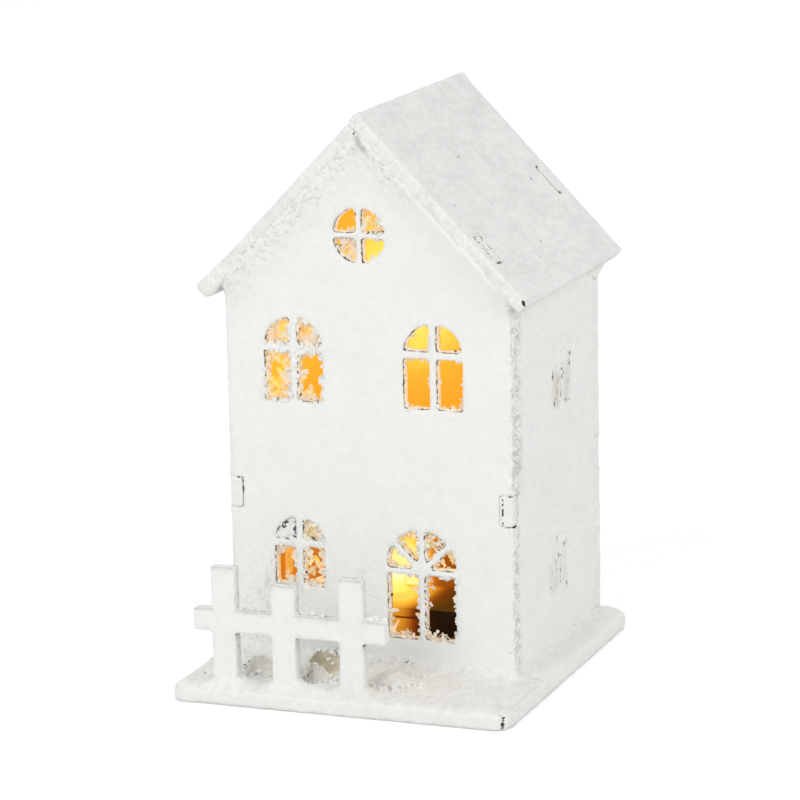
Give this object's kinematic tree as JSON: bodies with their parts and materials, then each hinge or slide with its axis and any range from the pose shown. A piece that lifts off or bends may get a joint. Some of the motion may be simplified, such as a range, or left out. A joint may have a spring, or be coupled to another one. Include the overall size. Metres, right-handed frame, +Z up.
{
  "type": "christmas house lantern",
  "caption": "Snow-white board house lantern with arched windows, steep gable roof and picket fence on a yard plate, lit from inside by a battery lamp.",
  "frame": {"origin": "middle of the yard plate's underside, on the table", "axes": "+Z up along the height of the house, -Y out of the front wall with the door, +X to the right of someone who looks at the front"},
  "size_m": [0.1064, 0.1221, 0.1726],
  "materials": {
    "coated_board": "thin fibreboard under a white snow-grit coat",
    "roof_board": "thin fibreboard under a coarser white snow-grit coat",
    "snow": "loose white snow grit set in glue",
    "black_plastic": "fine matte moulding",
    "knob_plastic": "smooth moulding",
    "steel": "zinc plated",
    "nickel": "nickel plated spring steel",
    "cell_jacket": "plain printed jacket without lettering",
    "board_green": "satin solder resist",
    "lamp_resin": "clear warm-white resin",
    "red_insulation": "soft matte",
    "black_insulation": "soft matte"
  },
  "bodies": {
    "house": {"base_plate": "coated_board", "front_wall": "coated_board", "back_wall": "coated_board", "left_wall": "coated_board", "right_wall": "coated_board", "left_roof_board": "roof_board", "right_roof_board": "roof_board", "picket_fence": "coated_board", "snow_mounds": "snow", "battery_case": "black_plastic", "case_screws": "steel", "switch_cover": "black_plastic", "switch_body": "steel", "circuit_board": "board_green", "left_cell": "cell_jacket", "right_cell": "cell_jacket", "contact_springs": "nickel", "bridge_contact": "nickel", "plus_contact": "nickel", "minus_contact": "nickel", "lamp_lens": "lamp_resin", "lamp_leads": "nickel", "red_wire": "red_insulation", "black_wire": "black_insulation"},
    "door": {"battery_door": "black_plastic", "door_screws": "steel"},
    "knob": {"switch_knob": "knob_plastic"}
  },
  "joints": [
    {"name": "battery_door_lift_off", "type": "slide", "parent": "house", "child": "door", "axis": [0, 0, -1], "range_m": [0, 0.02]},
    {"name": "switch_slide", "type": "slide", "parent": "house", "child": "knob", "axis": [0, 1, 0], "range_m": [-0.002, 0]}
  ]
}
